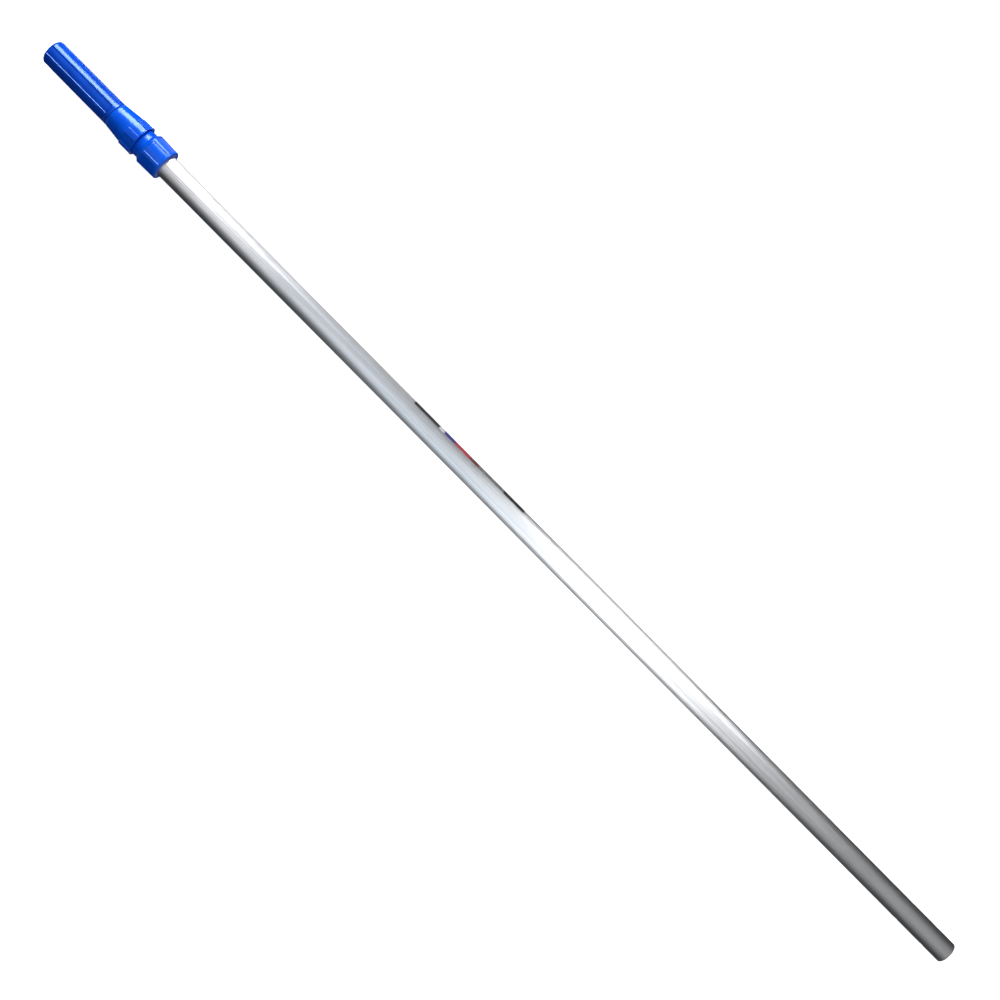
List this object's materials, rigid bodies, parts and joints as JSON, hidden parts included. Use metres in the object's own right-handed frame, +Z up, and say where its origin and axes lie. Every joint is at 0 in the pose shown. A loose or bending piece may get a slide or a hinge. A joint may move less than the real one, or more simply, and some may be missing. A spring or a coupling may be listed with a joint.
{
  "type": "telescopic pole",
  "caption": "Telescoping aluminium pole with a fluted outer tube, an open tool socket, a twist-lock nut and body, and a moulded hand grip on its inner tube.",
  "frame": {"origin": "centre of the tool socket's mouth, at the bare end of the outer tube", "axes": "+X along the pole's axis towards the hand grip; +Z up with the pole lying level"},
  "size_m": [1.6777, 0.0462, 0.0462],
  "materials": {
    "anodised_tube": "clear anodised, drawn lengthwise, satin",
    "plain_tube": "mill finish with fine sliding marks",
    "rivet_aluminium": "bright",
    "blue_plastic": "moulded, glossy",
    "white_nylon": "natural nylon",
    "label_film": "printed polyester film"
  },
  "bodies": {
    "outer_pole": {"outer_tube": "anodised_tube", "label": "label_film", "lock_body": "blue_plastic", "body_rivets": "rivet_aluminium"},
    "guide": {"guide_ring": "white_nylon"},
    "inner_pole": {"inner_tube": "plain_tube", "end_plug": "white_nylon", "end_plug_rivet": "rivet_aluminium", "grip": "blue_plastic"},
    "clamp": {"collet": "white_nylon", "slip_ring": "white_nylon"},
    "nut": {"lock_nut": "blue_plastic"}
  },
  "joints": [
    {"name": "pole_turn", "type": "hinge", "parent": "outer_pole", "child": "guide", "pos_m": [1.5, 0, 0], "axis": [1, 0, 0], "continuous": true},
    {"name": "pole_slide", "type": "slide", "parent": "guide", "child": "inner_pole", "axis": [1, 0, 0], "range_m": [0, 1.2]},
    {"name": "nut_advance", "type": "slide", "parent": "outer_pole", "child": "clamp", "axis": [-1, 0, 0], "range_m": [0, 0.002]},
    {"name": "nut_turn", "type": "hinge", "parent": "clamp", "child": "nut", "pos_m": [1.54, 0, 0], "axis": [-1, 0, 0], "range_deg": [0, 240]}
  ],
  "couplings": [
    {"joint": "nut_advance", "follows": "nut_turn", "m_per_rad": 0.00047746}
  ]
}
